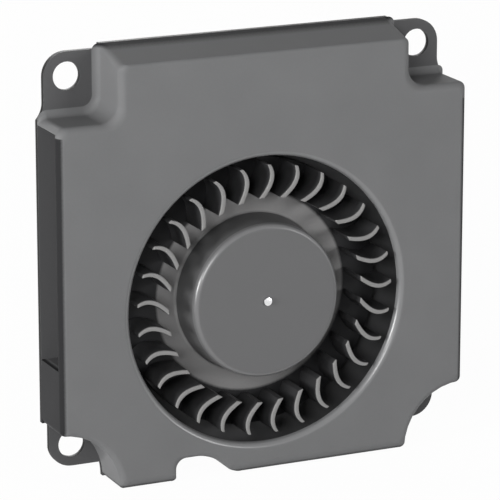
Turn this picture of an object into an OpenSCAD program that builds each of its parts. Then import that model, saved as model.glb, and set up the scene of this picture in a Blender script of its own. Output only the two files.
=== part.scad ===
// DC blower fan, 75 x 75 x 10 mm class.
// A flat rear plate with four screw ears carries a moulded cover; a
// forward-curved impeller on an external-rotor motor turns inside the cover's
// round inlet and blows out of the left side.
//
// Everything is drawn lying on its back, with x to the right, v (the drawing's
// Y) upward on the fan's face and h (the drawing's Z) the height above the rear
// mounting plane. stand() then turns it upright: +X right, +Z up, inlet to -Y.

/* [Housing] */
// width and height of the square body
body_w = 75; // [60:1:100]
// height of the impeller's axis above the bottom edge
axis_rise = 30; // [26:0.5:36]
// overall depth, rear mounting plane to front face
depth = 10; // [9:0.5:16]
// rear plate thickness
plate_t = 1.0; // [0.8:0.1:1.5]
// cover wall thickness
wall_t = 1.2; // [0.9:0.1:1.6]
// corner radius of the cover's right-hand and outlet edges
side_round = 1.15; // [0.5:0.05:1.5]
// corner radius of the cover's bottom edge
foot_round = 1.9; // [0.8:0.1:2.5]
// how far the top wall leans back to the face
top_draft = 2.6; // [0:0.1:3.5]
// round inlet radius in the cover
inlet_r = 25; // [22:0.05:28]
// rounding of the inlet's lip
lip_r = 0.9; // [0.4:0.1:1.1]

/* [Mounting ears] */
// distance of the screw holes from the body's sides
hole_inset = 5.25; // [5:0.05:6]
// drop of the upper holes below the top edge
hole_drop = 5.0; // [4.8:0.1:6]
// height of the lower holes above the bottom edge
hole_rise = 6.5; // [6:0.1:9]
// screw hole radius, clearance for M4
hole_r = 2.4; // [2.15:0.05:2.5]
// distance from hole centre to the ear's outer edges
ear_margin = 4.1; // [3.6:0.1:5]
// radius of the flare from an upper ear to the body's side
ear_flare = 4; // [2:0.5:6]

/* [Corner pockets] */
// radius of the round pockets at the two bottom corners
scoop_r = 10.8; // [10.7:0.1:12]
// width of the square pocket, top left
pocket_l_w = 11.0; // [10.5:0.1:13]
// height of the square pocket, top left
pocket_l_h = 12.1; // [11.5:0.1:13.5]
// width of the square pocket, top right
pocket_r_w = 10.8; // [10.5:0.1:13]
// height of the square pocket, top right
pocket_r_h = 10.6; // [10.3:0.1:13]
// radius of each square pocket's inner corner
pocket_round = 3.2; // [2:0.1:4]

/* [Air path] */
// lower edge of the outlet, above the impeller's axis
outlet_low = -8.0; // [-12:0.5:-4]
// gap between impeller and scroll at the tongue
tongue_gap = 2.2; // [1.5:0.1:4]
// spiral growth of the scroll, per degree
scroll_rate = 0.0021; // [0.0015:0.0001:0.003]
// scroll wall thickness
scroll_t = 1.0; // [0.8:0.1:1.4]
// angle at which the scroll starts, from +X towards +Z
scroll_from = 200; // [190:1:215]

/* [Lead exit] */
// left end of the notch in the bottom edge
notch_x0 = -16.7; // [-20:0.1:-12]
// right end of the notch
notch_x1 = -5.8; // [-9:0.1:-4]
// depth of the notch
notch_h = 4.1; // [2.5:0.1:4.5]
// run of the notch's sloped right side
notch_slope = 4.6; // [1:0.1:5]

/* [Impeller] */
// number of blades
blades = 29; // [19:1:41]
// impeller tip radius
tip_r = 23.6; // [20:0.1:24]
// radius of the blades' inner ends
eye_r = 17.9; // [16:0.1:19]
// hub cup radius
hub_r = 13.4; // [11:0.1:14]
// how much wider the hub's side is at its foot
hub_draft = 0.5; // [0.1:0.1:0.8]
// rounding of the hub's rim
hub_round = 1.0; // [0.5:0.1:1.0]
// blade thickness at the inner end
blade_t0 = 0.95; // [0.6:0.05:1.2]
// blade thickness at the tip
blade_t1 = 0.6; // [0.4:0.05:0.8]
// turn of the blade's inner end, degrees ahead of the middle
blade_in = 5.5; // [0:0.5:12]
// turn of the blade's tip, degrees ahead of the middle
blade_out = 1.5; // [0:0.5:10]
// angle of the first blade at rest
blade_phase = 12.8; // [0:0.1:12.8]
// how far the blades stop short of the cover's face
blade_sink = 0.3; // [0.2:0.1:1]

/* [Motor] */
// shaft radius
shaft_r = 0.75; // [0.5:0.05:1]
// how far the shaft's end stands out of the hub
shaft_proud = 0.4; // [0.2:0.1:0.8]
// radial running clearance of the shaft
run_gap = 0.03; // [0.02:0.01:0.08]
// number of stator poles
poles = 6; // [4:2:8]

/* [View] */

/* [Hidden] */
$fn = 96;
eps = 0.01;
half_w = body_w / 2;
z_lo = -axis_rise;
z_hi = body_w - axis_rise;
skin_h = depth - wall_t;                 // underside of the cover's face
hole_z0 = z_lo + hole_rise;
hole_z1 = z_hi - hole_drop;
hole_x = half_w - hole_inset;
ear_x = hole_x + ear_margin;
ear_lo = hole_z0 - ear_margin + 0.2;
ear_hi = hole_z1 + ear_margin;
ear_root = half_w - max(pocket_l_w, pocket_r_w) - 4.5;   // where the ears join the plate
outlet_high = z_hi - pocket_l_h - wall_t;
blade_h1 = depth - blade_sink;
web_h0 = plate_t + 1.2;                  // rear of the impeller's web
web_t = 0.8;
cup_wall = 0.8;
cup_in = hub_r - cup_wall;
cup_top = depth - 1.1;                   // inside of the hub's face
yoke_t = 0.6;
magnet_out = cup_in - yoke_t;
magnet_t = hub_r * 0.103;
magnet_in = magnet_out - magnet_t;
stator_r = magnet_in - 0.4;
tube_r = hub_r * 0.254;
tube_in = tube_r - 0.7;
tube_h1 = depth - 2.5;
core_h0 = depth * 0.42;
core_h1 = depth * 0.68;
board_h0 = plate_t + 0.5;
board_t = 0.6;
board_r = stator_r + 0.3;
board_top = board_h0 + board_t;
seal_r = tube_r + 2.6;
lead_turn = -113;                        // direction of the leads' run to the notch
rib_from = board_r - 0.4;
rib_to = tip_r - 1.0;

// ---------------------------------------------------------------- helpers
module stand() { rotate([90, 0, 0]) children(); }
module slab(h0, h1) { translate([0, 0, h0]) linear_extrude(h1 - h0) children(); }
module ring(r1, r0, h0, h1) {
    slab(h0, h1) difference() { circle(r1); circle(r0); }
}
function arc(cx, cy, r, a0, a1, n = 8) =
    [for (i = [0:n]) let (a = a0 + (a1 - a0) * i / n) [cx + r * cos(a), cy + r * sin(a)]];

// square pocket at a top corner, with a rounded inner corner; side is -1 or +1
module pocket2d(side, w, h, grow) {
    x0 = half_w - w - grow;
    v0 = z_hi - h - grow;
    r = pocket_round + grow;
    scale([side, 1]) difference() {
        translate([x0, v0]) square([w + grow + 9, h + grow + 9]);
        difference() {
            translate([x0 - eps, v0 - eps]) square(r + eps);
            translate([x0 + r, v0 + r]) circle(r);
        }
    }
}

// notch in the bottom edge where the leads leave
module notch2d(grow) {
    top = z_lo + notch_h + grow;
    polygon([[notch_x0 - grow, z_lo - 5], [notch_x0 - grow, top - 1.2],
        [notch_x0 + 1.2, top], [notch_x1 - notch_slope, top],
        [notch_x1 + grow, z_lo + 0.4 + grow], [notch_x1 + grow, z_lo - 5]]);
}

// body outline seen from the front, moved in by grow
module outline2d(grow = 0) {
    difference() {
        translate([-half_w + grow, z_lo + grow])
            square([body_w - 2 * grow, body_w - 2 * grow]);
        pocket2d(-1, pocket_l_w, pocket_l_h, grow);
        pocket2d(1, pocket_r_w, pocket_r_h, grow);
        for (s = [-1, 1]) translate([s * half_w, z_lo]) circle(scoop_r + grow);
        notch2d(grow);
    }
}

// solid with the cover's rounded and leaning sides, moved in by g
module body_solid(g, h0, h1) {
    rs = side_round;
    rf = foot_round;
    intersection() {
        slab(h0, h1) outline2d(g);
        // left and right edges: profile in x and h
        translate([0, z_hi + 5, 0]) rotate([90, 0, 0]) linear_extrude(body_w + 10)
            polygon(concat([[-half_w + g, -1], [half_w - g, -1]],
                arc(half_w - g - rs, depth - g - rs, rs, 0, 90),
                arc(-half_w + g + rs, depth - g - rs, rs, 90, 180)));
        // foot and leaning top: profile in h and z
        rotate([90, 0, 90]) translate([0, 0, -half_w - 5]) linear_extrude(body_w + 10)
            polygon(concat([[z_lo + g, -1], [z_hi - g, -1], [z_hi - g, plate_t]],
                arc(z_hi - g - top_draft - 0.5, depth - g - 0.5, 0.5, 16, 90, 4),
                arc(z_lo + g + rf, depth - g - rf, rf, 90, 180)));
    }
}

// scroll: log spiral from the tongue round to the top, then out to the left
module scroll2d(grow = 0) {
    r0 = tip_r + tongue_gap;
    span = 450 - scroll_from;
    far = half_w + 6;
    polygon(concat(
        [for (i = [0:50]) let (a = scroll_from + span * i / 50,
            r = (r0 + grow) * exp(scroll_rate * span * i / 50)) [r * cos(a), r * sin(a)]],
        [[-far, z_hi + 4], [-far, outlet_low - grow]],
        arc(-r0 - 0.4, outlet_low - 0.8, 0.8 - grow * 0.4, 90, 40, 4)));
}

module ears2d() {
    r = ear_margin;
    for (s = [-1, 1]) scale([s, 1]) {
        translate([ear_x - r, ear_hi - r]) circle(r);
        translate([ear_x - r, ear_lo + r]) circle(r);
        w = ear_x - ear_root;
        up = pocket_l_h + 1.9;
        down = scoop_r + 2.2;
        translate([ear_root, ear_hi - up]) square([w - r, up]);
        translate([ear_root, ear_hi - up]) square([w, up - r]);
        translate([ear_root, ear_lo]) square([w - r, down]);
        translate([ear_root, ear_lo + r]) square([w, down - r]);
    }
}

// flare that leads an upper ear's outer edge out to the body's side
module flare2d(side, floor_v) {
    w = half_w - ear_x;
    c = sqrt(ear_flare * ear_flare - (ear_flare - w) * (ear_flare - w));
    scale([side, 1]) difference() {
        translate([ear_x - 1, floor_v - 0.5]) square([w + 1, c + 0.5]);
        translate([ear_x + ear_flare, floor_v + c]) circle(ear_flare);
    }
}

// ---------------------------------------------------------------- housing
module rear_plate() color([0.07, 0.07, 0.075]) stand() {
    difference() {
        slab(0, plate_t) difference() {
            union() {
                outline2d(0);
                ears2d();
                flare2d(-1, z_hi - pocket_l_h);
                flare2d(1, z_hi - pocket_r_h);
            }
            notch2d(0);
            // the cover's skirt covers the plate's edge below the outlet
            translate([-half_w - 1, z_lo]) square([1 + wall_t, outlet_low - 1 - z_lo]);
        }
        for (x = [-1, 1], z = [hole_z0, hole_z1])
            translate([x * hole_x, z, -1]) cylinder(r = hole_r, h = plate_t + 2);
        translate([0, 0, -1]) cylinder(r = tube_r, h = plate_t + 2);
        translate([0, 0, -1]) cylinder(r = seal_r + 0.2, h = 1.3);
    }
    // scroll wall, from the floor up to the cover's face
    intersection() {
        slab(plate_t - eps, skin_h) difference() {
            scroll2d(scroll_t);
            scroll2d(0);
            translate([-half_w - 9, outlet_low + 0.2]) square([half_w + 9 - tip_r, 60]);
        }
        body_solid(wall_t, plate_t - 0.5, skin_h);
    }
    // seat for the bearing tube and three posts under the circuit board
    ring(tube_r + 1.1, tube_r, plate_t - eps, plate_t + 0.5);
    for (i = [0:2]) rotate(i * 120 + 30) translate([board_r * 0.71, 0, plate_t - eps])
        cylinder(r = 0.9, h = 0.5 + eps, $fn = 32);
    // two low ribs that lead the wires to the notch
    for (s = [-1, 1]) rotate(lead_turn) translate([rib_from, s * 1.9 - 0.3, plate_t - eps])
        cube([rib_to - rib_from, 0.6, 0.5]);
}

module front_cover() color([0.33, 0.33, 0.34]) stand() {
    difference() {
        union() {
            body_solid(0, plate_t, depth);
            // skirt beside the plate, below the outlet
            intersection() {
                body_solid(0, 0, plate_t + 1);
                translate([-half_w - 1, z_lo, -1]) cube([1 + wall_t, outlet_low - 1 - z_lo, plate_t + 2]);
            }
        }
        body_solid(wall_t, -1, skin_h);
        // round inlet with a rounded lip
        translate([0, 0, skin_h - 1]) cylinder(r = inlet_r, h = wall_t + 2);
        rotate_extrude() difference() {
            translate([inlet_r - 0.5, depth - lip_r]) square([lip_r + 0.5, lip_r + 1]);
            translate([inlet_r + lip_r, depth - lip_r]) circle(lip_r);
        }
        // outlet in the left side
        translate([-half_w - 1, outlet_low, plate_t - 1])
            cube([wall_t + 1.4, outlet_high - outlet_low, skin_h - plate_t + 1]);
        // slot for the leads through the notch's wall
        translate([notch_x0 + 3.5, z_lo + notch_h - 1, plate_t]) cube([4, 3.4, 1.4]);
    }
}

module rear_seal_disc() color([0.62, 0.62, 0.62]) stand()
    cylinder(r = seal_r, h = 0.3);

// ---------------------------------------------------------------- bearing
module bearing_tube() color([0.72, 0.58, 0.3]) stand() difference() {
    translate([0, 0, 0.3]) cylinder(r = tube_r, h = tube_h1 - 0.3);
    translate([0, 0, 0.7]) cylinder(r = tube_in, h = tube_h1);
}

module thrust_pad() color([0.92, 0.9, 0.82]) stand()
    translate([0, 0, 0.7]) cylinder(r = tube_in, h = 0.4);

module shaft_retainer() color([0.86, 0.85, 0.8]) stand() difference() {
    ring(tube_in, shaft_r - 0.12, 1.5, 1.8);
    for (i = [0:3]) rotate(i * 90 + 45) translate([0.9, -0.15, 1]) cube([1.1, 0.3, 1.4]);
}

module sleeve_bearing() color([0.6, 0.47, 0.27]) stand()
    ring(tube_in, shaft_r + run_gap, 1.8, tube_h1 - 0.4);

module oil_seal_washer() color([0.88, 0.88, 0.84]) stand()
    ring(tube_in, shaft_r + 0.1, tube_h1 - 0.4, tube_h1 - 0.1);

// ---------------------------------------------------------------- stator
module stator2d(r, neck, face) {
    difference() {
        union() {
            circle(tube_r + 1.4);
            intersection() {
                union() for (i = [0:poles - 1]) rotate(i * 360 / poles + 15) {
                    translate([0, -neck / 2]) square([r, neck]);
                    translate([r - 1.2, -face / 2]) square([1.3, face]);
                }
                circle(r);
            }
        }
        circle(tube_r);
    }
}

pole_face = 2 * (stator_r - 1) * sin(180 / poles) * 0.8;

module stator_core() color([0.45, 0.46, 0.48]) stand()
    slab(core_h0, core_h1) stator2d(stator_r, 1.6, pole_face);

module stator_insulator_front() color([0.9, 0.9, 0.86]) stand() {
    slab(core_h1, core_h1 + 0.4) stator2d(stator_r - 0.3, 1.8, pole_face - 0.6);
    ring(tube_r + 1.0, tube_r, core_h1 + 0.4 - eps, core_h1 + 0.6);
}

module stator_insulator_rear() color([0.9, 0.9, 0.86]) stand()
    slab(core_h0 - 0.4, core_h0) stator2d(stator_r - 0.3, 1.8, pole_face - 0.6);

module stator_windings() color([0.72, 0.36, 0.16]) stand()
    for (i = [0:poles - 1]) rotate(i * 360 / poles + 15)
        slab_coil(tube_r + 1.7, stator_r - 1.5);

// one coil wound round a pole's neck, with rounded ends
module slab_coil(x0, x1) {
    h0 = core_h0 - 0.4;
    h1 = core_h1 + 0.4;
    translate([x0, 0, 0]) rotate([90, 0, 90]) linear_extrude(x1 - x0) difference() {
        union() {
            translate([-1.6, h0 - 0.3]) square([3.2, h1 - h0 + 0.6]);
            translate([-1.2, h0 - 0.6]) square([2.4, h1 - h0 + 1.2]);
        }
        translate([-0.9, h0]) square([1.8, h1 - h0]);
    }
}

module terminal_pins() color([0.78, 0.76, 0.7]) stand()
    for (a = [45, 165, 285]) rotate(a) translate([tube_r + 0.9, 0, board_top])
        cylinder(r = 0.25, h = core_h0 - 0.4 - board_top, $fn = 24);

// ---------------------------------------------------------------- electronics
module circuit_board() color([0.06, 0.26, 0.14]) stand()
    slab(board_h0, board_top) difference() {
        union() {
            circle(board_r);
            rotate(lead_turn) translate([0, -2.4]) square([board_r + 1.4, 4.8]);
        }
        circle(tube_r);
    }

module hall_sensor() color([0.1, 0.1, 0.1]) stand()
    rotate(-15) translate([board_r - 1.6, -0.7, board_top]) cube([1.4, 1.4, 0.4]);

module driver_chip() color([0.08, 0.08, 0.08]) stand()
    rotate(75) translate([board_r * 0.55, -1.3, board_top]) cube([2.4, 2.6, 0.45]);

module chip_capacitors() color([0.6, 0.45, 0.3]) stand()
    for (a = [108, 122, 212]) rotate(a) translate([board_r * 0.64, -0.4, board_top])
        cube([1.5, 0.8, 0.4]);

module chip_resistors() color([0.12, 0.12, 0.13]) stand()
    for (a = [20, 32, 136, 200]) rotate(a) translate([board_r * 0.66, -0.35, board_top])
        cube([1.2, 0.7, 0.3]);

module lead_pads() color([0.8, 0.8, 0.78]) stand()
    rotate(lead_turn) for (s = [-1, 1]) translate([board_r - 0.9, s * 1.1 - 0.7, board_top])
        cube([2, 1.4, 0.12]);

// ---------------------------------------------------------------- rotor
function turn_at(r) = let (s = (r - eye_r) / (tip_r - eye_r), m = 0.55)
    blade_in * (s - m) * (s - 1) / m + blade_out * s * (s - m) / (1 - m);
function thick_at(r) = blade_t0 + (blade_t1 - blade_t0) * (r - eye_r) / (tip_r - eye_r);
function blade_side(sgn, n = 8) = [for (i = [0:n])
    let (r = eye_r + (tip_r - eye_r) * i / n,
        a = turn_at(r) + sgn * thick_at(r) / 2 / r * 180 / PI) [r * cos(a), r * sin(a)]];
function flipped(p) = [for (i = [len(p) - 1:-1:0]) p[i]];

// hub cup with a rounded rim and a boss that grips the shaft
module impeller_hub() color([0.3, 0.3, 0.31]) stand() rotate_extrude() difference() {
    union() {
        translate([shaft_r, cup_top]) square([hub_r - shaft_r - hub_round, depth - cup_top]);
        translate([shaft_r, cup_top]) square([hub_r - shaft_r, depth - cup_top - hub_round]);
        translate([hub_r - hub_round, depth - hub_round]) intersection() {
            circle(hub_round, $fn = 48);
            square(hub_round);
        }
        polygon([[cup_in, web_h0], [hub_r + hub_draft, web_h0],
            [hub_r + hub_draft, web_h0 + web_t], [hub_r, depth - hub_round],
            [cup_in, depth - hub_round]]);
        translate([shaft_r, tube_h1 + 0.3]) square([1.5, cup_top - tube_h1]);
    }
    translate([-5, -5]) square([5 + shaft_r, 30]);
}

// web: a flat ring round the foot of the hub
module impeller_web() color([0.28, 0.28, 0.29]) stand()
    ring(tip_r, hub_r + hub_draft, web_h0, web_h0 + web_t);

// blades, the first one at the angle seen at rest
module impeller_blades() color([0.3, 0.3, 0.31]) stand()
    for (i = [0:blades - 1]) rotate(blade_phase + i * 360 / blades)
        slab(web_h0 + web_t, blade_h1)
            polygon(concat(blade_side(-1), flipped(blade_side(1))));

module rotor_yoke() color([0.6, 0.61, 0.62]) stand() {
    ring(cup_in - 0.05, magnet_out, web_h0 + 0.8, cup_top);
    ring(magnet_out + eps, 4.2, cup_top - 0.5, cup_top);
}

module ring_magnet() color([0.16, 0.15, 0.15]) stand()
    ring(magnet_out, magnet_in, web_h0 + 0.9, cup_top - 0.9);

module shaft() color([0.83, 0.83, 0.84]) stand() difference() {
    union() {
        translate([0, 0, 1.2]) cylinder(r = shaft_r, h = depth + shaft_proud - 0.12 - 1.2, $fn = 48);
        translate([0, 0, depth + shaft_proud - 0.12])
            cylinder(r = shaft_r - 0.12, h = 0.12, $fn = 48);
    }
    // groove for the retainer
    rotate_extrude($fn = 48) translate([shaft_r - 0.2, 1.45]) square([1, 0.4]);
}

rear_plate();
front_cover();
rear_seal_disc();
bearing_tube();
thrust_pad();
shaft_retainer();
sleeve_bearing();
oil_seal_washer();
stator_core();
stator_insulator_front();
stator_insulator_rear();
stator_windings();
terminal_pins();
circuit_board();
hall_sensor();
driver_chip();
chip_capacitors();
chip_resistors();
lead_pads();
impeller_hub();
impeller_web();
impeller_blades();
rotor_yoke();
ring_magnet();
shaft();
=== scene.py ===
"""A DC blower fan: moulded cover, thin rear plate with screw ears, bladed impeller and motor.

Sizes in the classes are millimetres in the part's own frame: x to the right, z up, and h the
height above the rear mounting plane, towards the inlet. The meshes themselves are in metres,
with the inlet facing -Y.
"""
import logging
import math
from dataclasses import dataclass, field, replace
from enum import Enum
from typing import Sequence, Union

import bmesh
import bpy
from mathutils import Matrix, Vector


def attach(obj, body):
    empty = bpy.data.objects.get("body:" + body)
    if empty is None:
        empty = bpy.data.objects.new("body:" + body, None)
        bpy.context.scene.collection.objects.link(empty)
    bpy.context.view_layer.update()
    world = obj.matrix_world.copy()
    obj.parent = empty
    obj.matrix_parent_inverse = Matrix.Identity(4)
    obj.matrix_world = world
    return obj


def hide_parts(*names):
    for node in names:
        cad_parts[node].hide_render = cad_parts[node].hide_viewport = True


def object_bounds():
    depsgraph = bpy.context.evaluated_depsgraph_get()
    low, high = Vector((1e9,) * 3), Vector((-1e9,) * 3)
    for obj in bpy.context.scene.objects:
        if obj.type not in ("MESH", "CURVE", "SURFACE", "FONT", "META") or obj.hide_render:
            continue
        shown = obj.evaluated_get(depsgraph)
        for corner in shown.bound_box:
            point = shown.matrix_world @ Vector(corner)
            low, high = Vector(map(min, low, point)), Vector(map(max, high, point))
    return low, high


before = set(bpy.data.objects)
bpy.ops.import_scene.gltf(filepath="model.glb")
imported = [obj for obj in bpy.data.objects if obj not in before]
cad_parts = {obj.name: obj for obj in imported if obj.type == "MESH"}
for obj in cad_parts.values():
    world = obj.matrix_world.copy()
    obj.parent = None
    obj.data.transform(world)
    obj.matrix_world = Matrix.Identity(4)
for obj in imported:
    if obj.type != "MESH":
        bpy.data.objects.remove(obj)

MM = 0.001
LOG = logging.getLogger("blower")
CAD_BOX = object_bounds()

Point = tuple[float, float]
Spot = tuple[float, float, float]
Colour = tuple[float, float, float]

WHITE = (1.0, 1.0, 1.0, 1.0)


def place(x: float, z: float, h: float) -> Vector:
    """Turn plan position and height above the rear plane into a point of the part's frame.

    Args:
        x: distance to the right of the axis, in millimetres.
        z: height above the axis, in millimetres.
        h: distance in front of the rear mounting plane, in millimetres.

    Returns:
        The point in metres.
    """
    return Vector((x * MM, -h * MM, z * MM))


# --------------------------------------------------------------------------- node trees


class Value:
    """A numeric socket that can be used in a Python expression."""

    def __init__(self, tree: "Tree", socket: bpy.types.NodeSocket) -> None:
        """Keep the tree that owns the socket, and the socket."""
        self.tree = tree
        self.socket = socket

    def _math(self, operation: str, first: "Operand", second: "Operand") -> "Value":
        """Add a Math node with that operation on two operands."""
        node = self.tree.node("ShaderNodeMath", {"operation": operation}, {0: first, 1: second})
        return Value(self.tree, node.outputs[0])

    def __add__(self, other: "Operand") -> "Value":
        """Sum."""
        return self._math("ADD", self, other)

    def __radd__(self, other: "Operand") -> "Value":
        """Sum with a number on the left."""
        return self._math("ADD", other, self)

    def __sub__(self, other: "Operand") -> "Value":
        """Difference."""
        return self._math("SUBTRACT", self, other)

    def __rsub__(self, other: "Operand") -> "Value":
        """Difference from a number on the left."""
        return self._math("SUBTRACT", other, self)

    def __mul__(self, other: "Operand") -> "Value":
        """Product."""
        return self._math("MULTIPLY", self, other)

    def __rmul__(self, other: "Operand") -> "Value":
        """Product with a number on the left."""
        return self._math("MULTIPLY", other, self)

    def __truediv__(self, other: "Operand") -> "Value":
        """Quotient."""
        return self._math("DIVIDE", self, other)

    def __rtruediv__(self, other: "Operand") -> "Value":
        """Quotient of a number on the left."""
        return self._math("DIVIDE", other, self)

    def __pow__(self, other: "Operand") -> "Value":
        """Power."""
        return self._math("POWER", self, other)

    def above(self, limit: "Operand") -> "Value":
        """One where the value is over the limit, otherwise zero."""
        return self._math("GREATER_THAN", self, limit)

    def sine(self) -> "Value":
        """Sine of the value."""
        return self._math("SINE", self, 0.0)

    def most(self, other: "Operand") -> "Value":
        """The larger of two values."""
        return self._math("MAXIMUM", self, other)

    def held(self) -> "Value":
        """The value kept between zero and one."""
        node = self.tree.node("ShaderNodeClamp", {}, {0: self})
        return Value(self.tree, node.outputs[0])


Operand = Union[Value, bpy.types.NodeSocket, float, int]
Link = Union[Operand, bpy.types.ID, Sequence[float]]


class Tree:
    """A node tree of a material, the world or a modifier, and the one way to add a node to it."""

    def __init__(self, tree: bpy.types.NodeTree) -> None:
        """Take over a tree and empty it."""
        self.tree = tree
        self.tree.nodes.clear()

    def node(
        self, kind: str, settings: dict[str, object], links: dict[Union[int, str], Link]
    ) -> bpy.types.Node:
        """Add any node.

        Args:
            kind: the node's type name.
            settings: its own properties, set first.
            links: values or sockets for its inputs, by index or name.

        Returns:
            The new node.
        """
        made = self.tree.nodes.new(kind)
        for key, value in settings.items():
            setattr(made, key, value)
        for key, value in links.items():
            self.join(value, made.inputs[key])
        return made

    def join(self, value: Link, socket: bpy.types.NodeSocket) -> None:
        """Link a value or socket to an input, or set a plain number, colour or material on it.

        Args:
            value: what feeds the input.
            socket: the input.
        """
        if isinstance(value, Value):
            self.tree.links.new(value.socket, socket)
        elif isinstance(value, bpy.types.NodeSocket):
            self.tree.links.new(value, socket)
        else:
            socket.default_value = value

    def ray_kinds(self) -> tuple[Value, Value, Value]:
        """What kind of ray meets the surface that the tree belongs to.

        Returns:
            One or zero for a camera ray, a glossy ray and a transmission ray.
        """
        path = self.node("ShaderNodeLightPath", {}, {})
        kinds = ("Is Camera Ray", "Is Glossy Ray", "Is Transmission Ray")
        camera, gloss, clear = (Value(self, path.outputs[kind]) for kind in kinds)
        return camera, gloss, clear


class Shader(Tree):
    """One material and the nodes in it."""

    def __init__(self, name: str) -> None:
        """Make an empty node material that ends in a Principled shader.

        Args:
            name: the material's name.
        """
        self.material = bpy.data.materials.new(name)
        self.material.use_nodes = True
        super().__init__(self.material.node_tree)
        self.surface = self.node("ShaderNodeBsdfPrincipled", {}, {})
        self.output = self.node("ShaderNodeOutputMaterial", {}, {"Surface": self.surface.outputs[0]})
        self.coords = self.node("ShaderNodeTexCoord", {}, {})

    def position(self) -> bpy.types.NodeSocket:
        """The Object coordinates, which are the part's own frame in metres."""
        return self.coords.outputs["Object"]

    def axis(self, letter: str) -> Value:
        """One of the Object coordinates, X, Y or Z, in millimetres."""
        split = self.node("ShaderNodeSeparateXYZ", {}, {0: self.position()})
        return Value(self, split.outputs[letter]) * (1.0 / MM)

    def height(self) -> Value:
        """The height above the rear mounting plane, in millimetres."""
        return self.axis("Y") * -1.0

    def radius(self) -> Value:
        """The distance from the blower's axis, in millimetres."""
        x, z = self.axis("X"), self.axis("Z")
        return (x * x + z * z) ** 0.5

    def noise(self, scale: float, detail: float = 3.0, roughness: float = 0.55) -> Value:
        """Noise on Object coordinates.

        Args:
            scale: cells per metre.
            detail: how many finer layers are laid over the first.
            roughness: how strong the finer layers are.

        Returns:
            The noise, from zero to one.
        """
        made = self.node(
            "ShaderNodeTexNoise",
            {},
            {"Vector": self.position(), "Scale": scale, "Detail": detail, "Roughness": roughness},
        )
        return Value(self, made.outputs["Fac"])

    def mix(self, amount: Link, first: Link, second: Link) -> bpy.types.NodeSocket:
        """Blend two colours.

        Args:
            amount: from zero, all the first colour, to one, all the second.
            first: a plain colour or a socket.
            second: a plain colour or a socket.

        Returns:
            The blended colour's socket.
        """
        ends = [(*end, 1.0) if isinstance(end, tuple) else end for end in (first, second)]
        made = self.node("ShaderNodeMix", {"data_type": "RGBA"}, {0: amount, 6: ends[0], 7: ends[1]})
        return made.outputs[2]

    def bump(self, height: Value, strength: float, distance_mm: float) -> bpy.types.NodeSocket:
        """A Bump node over a height.

        Args:
            height: the height, from zero to one.
            strength: how much of the bump shows.
            distance_mm: how deep the whole height is.

        Returns:
            The bumped normal's socket.
        """
        made = self.node(
            "ShaderNodeBump",
            {},
            {"Strength": strength, "Distance": distance_mm * MM, "Height": height},
        )
        return made.outputs[0]

    def set(self, name: str, value: Link) -> None:
        """Set or link one input of the Principled shader."""
        self.join(value, self.surface.inputs[name])


# --------------------------------------------------------------------------- finishes


def tint(colour: Colour, factor: float) -> Colour:
    """A colour made lighter or darker by a factor."""
    return (colour[0] * factor, colour[1] * factor, colour[2] * factor)


class Reach(Enum):
    """What a plastic's change of tone goes by; the darker tone is painted shade."""

    NONE = "none"
    HEIGHT = "height above the rear plane"
    RADIUS = "distance from the axis"
    SHEET = "distance from the middle of the plate's thickness"
    SIDES = "distance out towards the cover's sides"


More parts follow.
